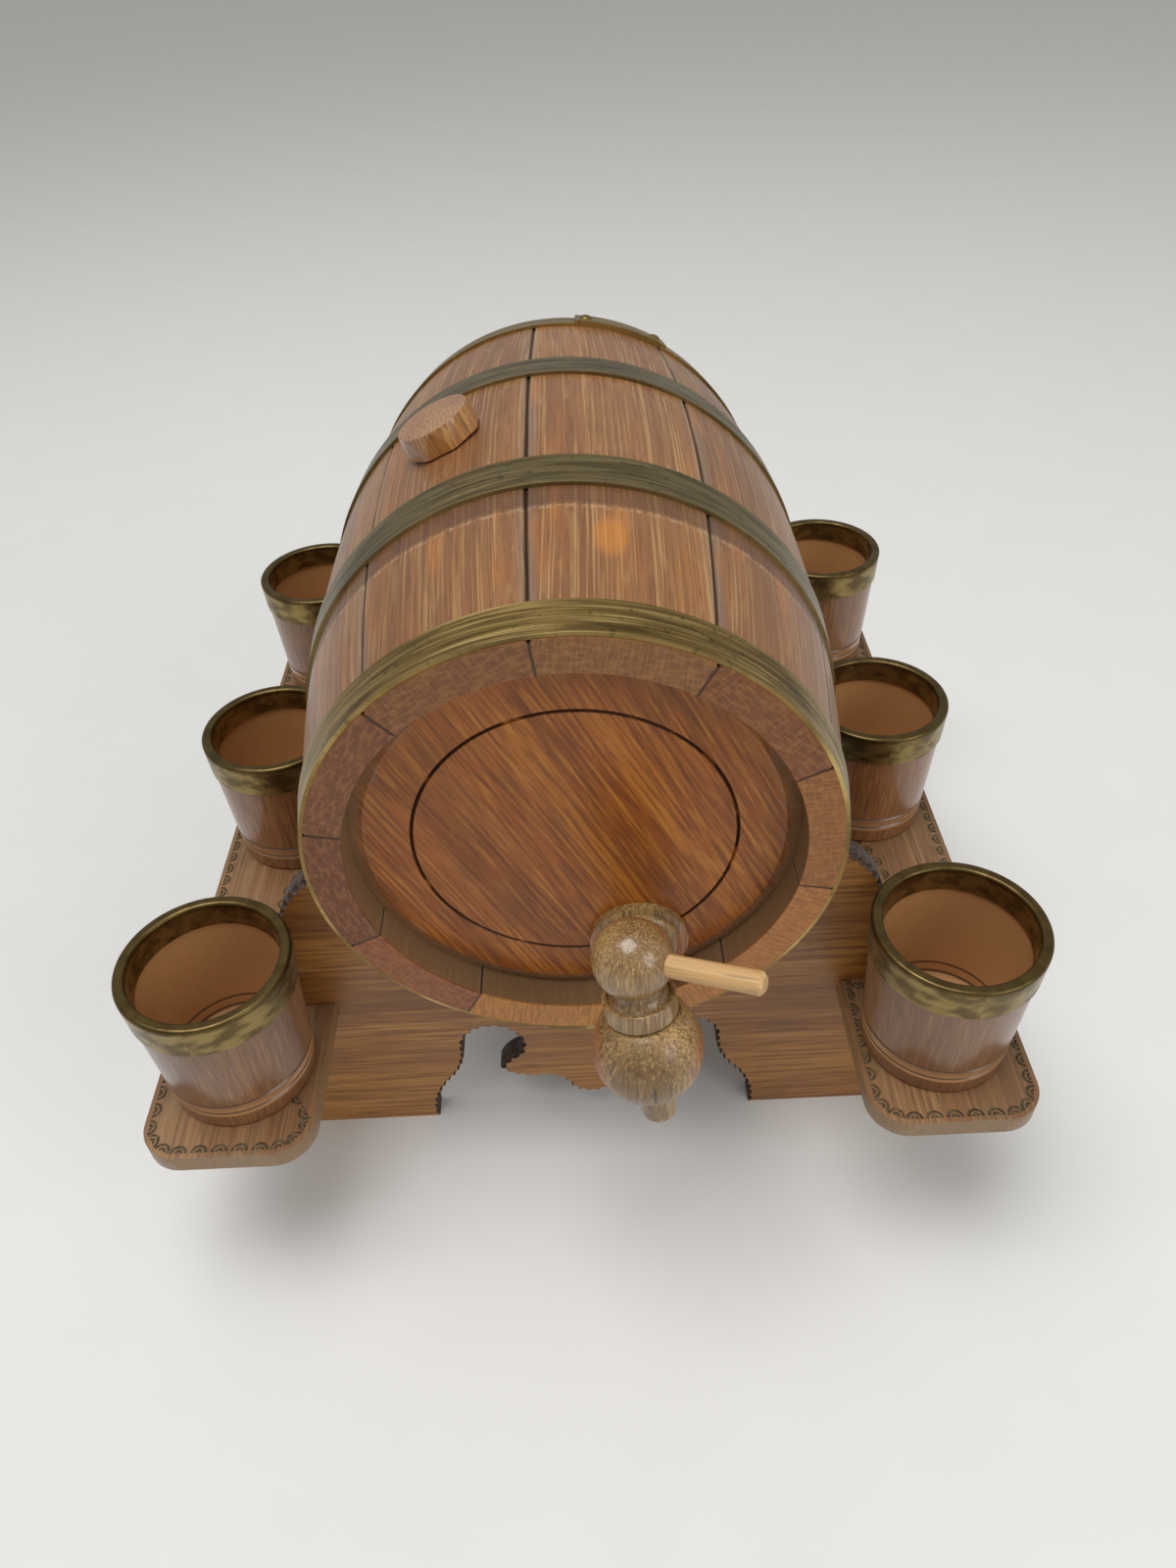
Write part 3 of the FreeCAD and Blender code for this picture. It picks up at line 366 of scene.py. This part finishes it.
peg_way = Vector((0.877, -0.438, 0.198))
peg_turn = peg_way.rotation_difference(Vector((0.0, 1.0, 0.0))).to_euler()
material, point = new_material("peg_beech", turn=peg_turn, centre=(bulb_x, bulb_y, bulb_z))
paint, height, fibre = timber(point, "c9a06a", "e6c490", "f6e0b6", seed=15.0, streaks=0.6, pores=0.5)
coat(material, paint, fibre * 0.15 + 0.4, height, 0.00006)
dress("tap_handle", material)


# Stand boards
# Two boards sawn from honey-coloured wood with the grain lying level. Their edges are scorched
# dark, and nicked with a small gouge everywhere but at the cradle, the shoulders and the feet.


def choose(*things):
    """Select these objects alone, the first of them active."""
    bpy.ops.object.select_all(action="DESELECT")
    for thing in things:
        thing.select_set(True)
    bpy.context.view_layer.objects.active = things[0]


def whole_copy(node, name):
    """A copy of a flat CAD piece with its loose triangles merged back into whole faces."""
    piece = bpy.data.objects.new(name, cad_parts[node].data.copy())
    bpy.context.scene.collection.objects.link(piece)
    choose(piece)
    bpy.ops.mesh.customdata_custom_splitnormals_clear()
    bpy.ops.object.mode_set(mode="EDIT")
    bpy.ops.mesh.select_all(action="SELECT")
    bpy.ops.mesh.remove_doubles(threshold=0.00001)
    bpy.ops.mesh.dissolve_limited(angle_limit=math.radians(0.4))
    bpy.ops.object.mode_set(mode="OBJECT")
    return piece


def round_the_edge(piece, normal, pitch, inset):
    """Places at even steps along the edge of the flat face that looks along normal, each with
    the way out of the piece there. Inset moves them in from the edge, and out if negative."""
    faces = [f for f in piece.data.polygons if f.normal.dot(normal) > 0.999]
    face = max(faces, key=lambda f: f.area)
    corners = [piece.data.vertices[k].co.copy() for k in face.vertices]
    lengths = [(b - a).length for a, b in zip(corners, corners[1:] + corners[:1])]
    step = sum(lengths) / round(sum(lengths) / pitch)
    places = []
    left = step / 2
    for a, b, length in zip(corners, corners[1:] + corners[:1], lengths):
        outward = (b - a).normalized().cross(normal)
        while left < length:
            places.append((a + (b - a) * (left / length) - outward * inset, outward))
            left += step
        left -= length
    return places


def cut_all_round(piece, tool, places, normal):
    """Cut a copy of the tool out of the piece at every place; its X looks out of the piece."""
    copies = []
    for where, outward in places:
        turned = Matrix((outward, normal.cross(outward), normal)).transposed().to_4x4()
        cutter = bpy.data.objects.new("cutter", tool.data.copy())
        cutter.data.transform(Matrix.Translation(where) @ turned)
        bpy.context.scene.collection.objects.link(cutter)
        copies.append(cutter)
    choose(*copies)
    bpy.ops.object.join()
    cutter = copies[0]
    choose(piece)
    bpy.ops.object.modifier_add(type="BOOLEAN")
    cut = piece.modifiers[-1]
    cut.operation = "DIFFERENCE"
    cut.solver = "EXACT"
    cut.use_self = True
    cut.material_mode = "TRANSFER"
    cut.object = cutter
    bpy.ops.object.modifier_apply(modifier=cut.name)
    bpy.data.objects.remove(cutter)


scorched, point = new_material("scorched_edge")
char = point.noise(700, 700, 700, detail=3.0)
paint = char.over(0.4, 0.65).blend("2a1d16", "54392a")
coat(scorched, paint, 0.62, char, 0.0001)

bpy.ops.mesh.primitive_ico_sphere_add(subdivisions=2, radius=0.0019)
gouge = bpy.context.object
gouge.data.materials.append(scorched)
nick_pitch = 0.0034
nick_outset = 0.0006
cradle_edge = 0.0745
shoulder_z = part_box("left_tray")[0].z
for name, side in (("front_board", -1), ("rear_board", 1)):
    middle = tuple((a + b) / 2 for a, b in zip(*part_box(name)))
    material, point = new_material(name + "_wood", turn=(0.0, 0.0, math.radians(88)), centre=middle)
    paint, height, fibre = timber(point, "784a1c", "a56f2e", "c8924a", seed=side * 4.3, streaks=0.5,
                                  fine=0.5, pores=0.4)
    coat(material, paint, fibre * 0.2 + 0.35, height, 0.00008, Coat_Weight=0.25, Coat_Roughness=0.25)
    board = whole_copy(name, name + "_nicked")
    board.data.materials.clear()
    board.data.materials.append(material)
    board.data.materials.append(scorched)
    outside = Vector((0.0, side, 0.0))
    places = round_the_edge(board, outside, nick_pitch, -nick_outset)
    places = [(where, out) for where, out in places
              if math.hypot(where.x, where.z - cask_middle[2]) > cradle_edge
              and abs(where.z - shoulder_z) > 0.0012 and where.z > -0.0002]
    for face in board.data.polygons:
        around = math.hypot(face.center.x, face.center.z - cask_middle[2])
        level = abs(face.normal.z) > 0.99 and face.center.z > 0.05
        if abs(face.normal.y) < 0.5 and around > cradle_edge and not level:
            face.material_index = 1
    cut_all_round(board, gouge, places, outside)
    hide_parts(name)
    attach(board, "stand")
bpy.data.objects.remove(gouge)


# Trays and nails
# Two thin shelves of darker wood, nailed down on the boards' shoulders. Their corners are
# rubbed, and a row of small arches is stamped along the edge.

stamp_pitch = 0.0055
stamp_inset = 0.0014
stamped, point = new_material("stamped_groove")
# The walls of the stamped grooves are darker than the tray and mottled.
groove_mottle = point.noise(800, 800, 800, detail=3.0)
paint = groove_mottle.over(0.4, 0.65).blend("4a3e2a", "6e5d40")
coat(stamped, paint, 0.5, groove_mottle, 0.0001)
bpy.ops.mesh.primitive_torus_add(major_radius=0.00195, minor_radius=0.00042, major_segments=20,
                                 minor_segments=6)
stamp = bpy.context.object
bpy.ops.mesh.primitive_torus_add(major_radius=0.00075, minor_radius=0.0004, major_segments=10,
                                 minor_segments=6)
choose(stamp, bpy.context.object)
bpy.ops.object.join()
stamp = bpy.context.object
bpy.ops.object.mode_set(mode="EDIT")
bpy.ops.mesh.select_all(action="SELECT")
bpy.ops.mesh.bisect(plane_co=(0.0, 0.0, 0.0), plane_no=(1.0, 0.0, 0.0), clear_outer=True, use_fill=True)
bpy.ops.object.mode_set(mode="OBJECT")
stamp.data.materials.append(stamped)
for name, seed in (("left_tray", 21.0), ("right_tray", 25.0)):
    middle = tuple((a + b) / 2 for a, b in zip(*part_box(name)))
    material, point = new_material(name + "_wood", centre=middle)
    paint, height, fibre = timber(point, "7c5636", "957049", "bd9a70", seed=seed, streaks=0.45, fine=0.7)
    across, along, up = point.axes()
    rubbed = point.noise(120, 60, 120, detail=4.0).over(0.5, 0.7)
    paint = paint.tint(colour("7d6b42"), rubbed * 0.3)
    side_wall = up.over(0.0029, 0.0022)
    paint = paint.tint(colour("84693f"), side_wall * 0.6)
    coat(material, paint, fibre * 0.2 + 0.33, height, 0.00008, Coat_Weight=0.25, Coat_Roughness=0.25)
    tray = whole_copy(name, name + "_stamped")
    tray.data.materials.clear()
    tray.data.materials.append(material)
    places = round_the_edge(tray, Vector((0.0, 0.0, 1.0)), stamp_pitch, stamp_inset)
    choose(tray)
    bpy.ops.object.modifier_add(type="BEVEL")
    tray.modifiers[-1].width = 0.0006
    tray.modifiers[-1].segments = 2
    tray.modifiers[-1].angle_limit = math.radians(50)
    bpy.ops.object.modifier_apply(modifier=tray.modifiers[-1].name)
    cut_all_round(tray, stamp, places, Vector((0.0, 0.0, 1.0)))
    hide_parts(name)
    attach(tray, "stand")
bpy.data.objects.remove(stamp)
material, point = new_material("nail_steel")
rust = point.noise(900, 900, 900, detail=3.0)
paint = rust.over(0.45, 0.65).blend("6d675e", "4a3626")
coat(material, paint, rust * 0.3 + 0.35, rust, 0.00005, Metallic=0.7)
dress("tray_nails", material)


# Beakers
# Six turned cups of reddish wood with two lines cut near the foot, each with a brass band
# folded over its mouth. The band is darker on its top than on its side.

cup_tones = [("70482b", "8c6038", "b48c60"), ("7a4c29", "976338", "c09460"),
             ("70482b", "8b5f3a", "b18a62")]
foot_lines = (0.0070, 0.0104)
cup_wall = 0.0206
for index, name in enumerate(("left_front", "left_middle", "left_rear",
                              "right_front", "right_middle", "right_rear")):
    low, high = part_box(name + "_cup")
    middle = ((low[0] + high[0]) / 2, (low[1] + high[1]) / 2, low[2])
    material, point = new_material(name + "_cup_wood", turn=(math.radians(90), 0.0, 0.0), centre=middle)
    paint, height, fibre = timber(point, *cup_tones[index % 3], seed=30.0 + index * 2.3, streaks=0.4)
    across, up, along = point.axes()
    from_axis = (across * across + along * along).root()
    well = from_axis.over(cup_wall, cup_wall - 0.0003) * up.size().over(0.0052, 0.0058)
    paint = paint.tint(colour("c08f5c"), well * 0.85)
    for line in foot_lines:
        paint = paint.tint(colour("2c180f"), (up.size() - line).size().over(0.0006, 0.0003) * 0.8)
    coat(material, paint, fibre * 0.15 + 0.25, height, 0.00008, Coat_Weight=0.45, Coat_Roughness=0.15)
    dress(name + "_cup", material)

    low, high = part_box(name + "_rim")
    middle = ((low[0] + high[0]) / 2, (low[1] + high[1]) / 2, high[2])
    material, point = new_material(name + "_rim_brass", centre=middle)
    across, along, up = point.axes()
    turn = across.maths("ARCTAN2", across, along)
    wound = turn.node("CombineXYZ", {}, {"X": turn * 0.023, "Y": up, "Z": float(index)})
    brushed = wound.noise(40, 2400, 1, detail=2.0)
    patch = wound.noise(140, 260, 1, detail=4.0)
    paint = patch.over(0.4, 0.62).blend("94804f", "665635")
    # The band's top is darker than its side.
    paint = paint.tint(colour("4c3d1e"), (up + patch * 0.001).over(-0.0016, -0.0004) * 0.75)
    coat(material, paint, patch * 0.2 + brushed * 0.1 + 0.18, brushed, 0.00004, Metallic=0.9)
    dress(name + "_rim", material)


# Studio
# A plain pale floor under soft light, and the camera where the photograph was taken from.

bpy.ops.mesh.primitive_plane_add(size=14.0)
floor = bpy.context.object
floor.name = "floor"
material, point = new_material("floor_paint")
speck = point.noise(30, 30, 30)
coat(material, speck.blend("e2e2e0", "e6e6e4"), 0.8, speck, 0.0)
floor.data.materials.append(material)

world = bpy.data.worlds.new("studio")
world.use_nodes = True
world.node_tree.nodes["Background"].inputs["Color"].default_value = (1.0, 0.99, 0.97, 1.0)
world.node_tree.nodes["Background"].inputs["Strength"].default_value = 0.42
bpy.context.scene.world = world

for name, spot, size, energy in (("ceiling_lamp", (-0.25, -0.15, 1.5), 0.9, 14.0),
                                 ("window_lamp", (1.1, -0.9, 0.9), 0.8, 6.0)):
    bpy.ops.object.light_add(type="AREA", location=spot)
    lamp = bpy.context.object
    lamp.name = name
    lamp.data.size = size
    lamp.data.energy = energy
    lamp.rotation_euler = (Vector(spot) - Vector((0.0, 0.0, 0.1))).to_track_quat("Z", "Y").to_euler()

pitch, yaw, roll = 0.72197, -0.00688, -0.05321
ahead = Vector((math.sin(yaw) * math.cos(pitch), math.cos(yaw) * math.cos(pitch), -math.sin(pitch)))
level = Vector((math.cos(yaw), -math.sin(yaw), 0.0))
upward = level.cross(ahead)
right = level * math.cos(roll) + upward * math.sin(roll)
above = upward * math.cos(roll) - level * math.sin(roll)
bpy.ops.object.camera_add()
camera = bpy.context.object
camera.matrix_world = Matrix((
    (right.x, above.x, -ahead.x, 0.005224),
    (right.y, above.y, -ahead.y, -0.27898),
    (right.z, above.z, -ahead.z, 0.328262),
    (0.0, 0.0, 0.0, 1.0),
))
camera.data.sensor_fit = "VERTICAL"
camera.data.sensor_height = 36.0
camera.data.lens = 36.0 * 1118.774 / 1600.0
camera.data.clip_start = 0.01
scene = bpy.context.scene
scene.camera = camera
scene.view_settings.view_transform = "Standard"
